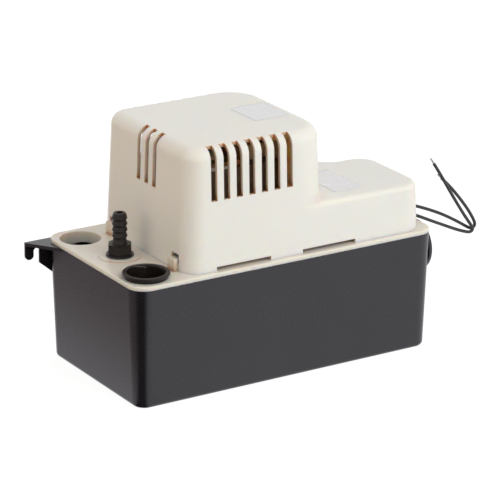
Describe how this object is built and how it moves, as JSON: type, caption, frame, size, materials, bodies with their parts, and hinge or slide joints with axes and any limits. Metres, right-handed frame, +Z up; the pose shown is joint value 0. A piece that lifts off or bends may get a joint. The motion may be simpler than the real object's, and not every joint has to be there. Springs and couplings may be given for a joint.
{
  "type": "condensate pump",
  "caption": "Low box-shaped condensate pump: sump tank, vented motor cover, vertical motor and impeller, float switch, barbed check-valve outlet and wall hooks.",
  "frame": {"origin": "middle of the footprint on the surface that the tank stands on", "axes": "+Z up; +X along the length, with the discharge fitting at the -X end; the long front face looks to -Y"},
  "size_m": [0.3087, 0.127, 0.1715],
  "materials": {
    "tank_black": "moulded, low sheen",
    "cream_plastic": "moulded, fine satin",
    "plug_black": "moulded, soft gloss",
    "pump_black": "moulded, satin",
    "core_steel": "laminated steel, varnished edges",
    "copper": "bare copper bar",
    "winding": "enamelled copper wire under varnish",
    "nylon": "natural nylon",
    "zinc_steel": "zinc plated sheet",
    "bronze": "sintered bronze",
    "bright_steel": "bright steel",
    "black_rubber": "soft rubber",
    "clear_hose": "flexible hose",
    "float_foam": "closed-cell float",
    "switch_black": "phenolic case",
    "button_red": "moulded button",
    "lead_black": "insulated lead"
  },
  "bodies": {
    "pump_frame": {"tank": "tank_black", "tank_deck": "cream_plastic", "motor_cover": "cream_plastic", "discharge_fitting": "plug_black", "cord_gland": "plug_black", "pump_column": "pump_black", "volute": "pump_black", "intake_plate": "pump_black", "discharge_nut": "pump_black", "valve_seat": "pump_black", "stator_core": "core_steel", "shading_rings": "copper", "stator_coil": "winding", "coil_bobbin": "nylon", "float_bracket": "nylon", "upper_bridge": "zinc_steel", "lower_bridge": "zinc_steel", "switch_stand": "zinc_steel", "hose_clamps": "zinc_steel", "upper_bearing": "bronze", "lower_bearing": "bronze", "switch_blades": "bronze", "motor_bolts": "bright_steel", "column_screws": "bright_steel", "intake_screws": "bright_steel", "bracket_screws": "bright_steel", "float_pin": "bright_steel", "stand_screws": "bright_steel", "switch_screws": "bright_steel", "valve_spring": "bright_steel", "bare_ends": "bright_steel", "lead_terminals": "bright_steel", "discharge_gasket": "black_rubber", "lead_grommet": "black_rubber", "discharge_hose": "clear_hose", "overflow_switch": "switch_black", "run_switch": "switch_black", "upper_lead": "lead_black", "lower_lead": "lead_black"},
    "spinner": {"motor_shaft": "bright_steel", "rotor": "core_steel", "cooling_fan": "pump_black", "shaft_slinger": "black_rubber", "impeller": "pump_black"},
    "float": {"float_arm": "nylon", "float_body": "float_foam", "float_screw": "bright_steel"},
    "rod": {"actuator_rod": "nylon"},
    "overflow_leaf": {"overflow_lever": "zinc_steel"},
    "run_leaf": {"run_lever": "zinc_steel"},
    "overflow_button": {"overflow_plunger": "button_red"},
    "run_button": {"run_plunger": "button_red"},
    "check_ball": {"valve_ball": "bright_steel"},
    "front_plug": {"front_inlet_plug": "plug_black"},
    "rear_plug": {"rear_inlet_plug": "plug_black"}
  },
  "joints": [
    {"name": "rotor_spin", "type": "hinge", "parent": "pump_frame", "child": "spinner", "pos_m": [-0.036, 0, 0.134], "axis": [0, 0, 1], "continuous": true},
    {"name": "float_swing", "type": "hinge", "parent": "pump_frame", "child": "float", "pos_m": [0.0294, -0.03, 0.074], "axis": [0, -1, 0], "range_deg": [0, 19.9]},
    {"name": "rod_lift", "type": "slide", "parent": "pump_frame", "child": "rod", "axis": [0, 0, 1], "range_m": [0, 0.003]},
    {"name": "overflow_leaf_tilt", "type": "hinge", "parent": "pump_frame", "child": "overflow_leaf", "pos_m": [0.064, -0.0362, 0.0984], "axis": [0, 1, 0], "range_deg": [0, 6.61]},
    {"name": "run_leaf_tilt", "type": "hinge", "parent": "pump_frame", "child": "run_leaf", "pos_m": [0.064, -0.0238, 0.0984], "axis": [0, 1, 0], "range_deg": [0, 6.61]},
    {"name": "overflow_button_press", "type": "slide", "parent": "pump_frame", "child": "overflow_button", "axis": [0, 0, 1], "range_m": [0, 0.00058]},
    {"name": "run_button_press", "type": "slide", "parent": "pump_frame", "child": "run_button", "axis": [0, 0, 1], "range_m": [0, 0.00058]},
    {"name": "check_ball_lift", "type": "slide", "parent": "pump_frame", "child": "check_ball", "axis": [0, 0, 1], "range_m": [0, 0.003], "stiffness_N_per_m": 30, "deforming": ["valve_spring"]},
    {"name": "front_plug_lift", "type": "slide", "parent": "pump_frame", "child": "front_plug", "axis": [0, 0, 1], "range_m": [0, 0.025]},
    {"name": "rear_plug_lift", "type": "slide", "parent": "pump_frame", "child": "rear_plug", "axis": [0, 0, 1], "range_m": [0, 0.025]}
  ],
  "couplings": [
    {"joint": "rod_lift", "follows": "float_swing", "m_per_rad": 0.0086},
    {"joint": "overflow_leaf_tilt", "follows": "float_swing", "ratio": 0.3307},
    {"joint": "run_leaf_tilt", "follows": "float_swing", "ratio": 0.3307},
    {"joint": "overflow_button_press", "follows": "float_swing", "m_per_rad": 0.001653},
    {"joint": "run_button_press", "follows": "float_swing", "m_per_rad": 0.001653}
  ]
}
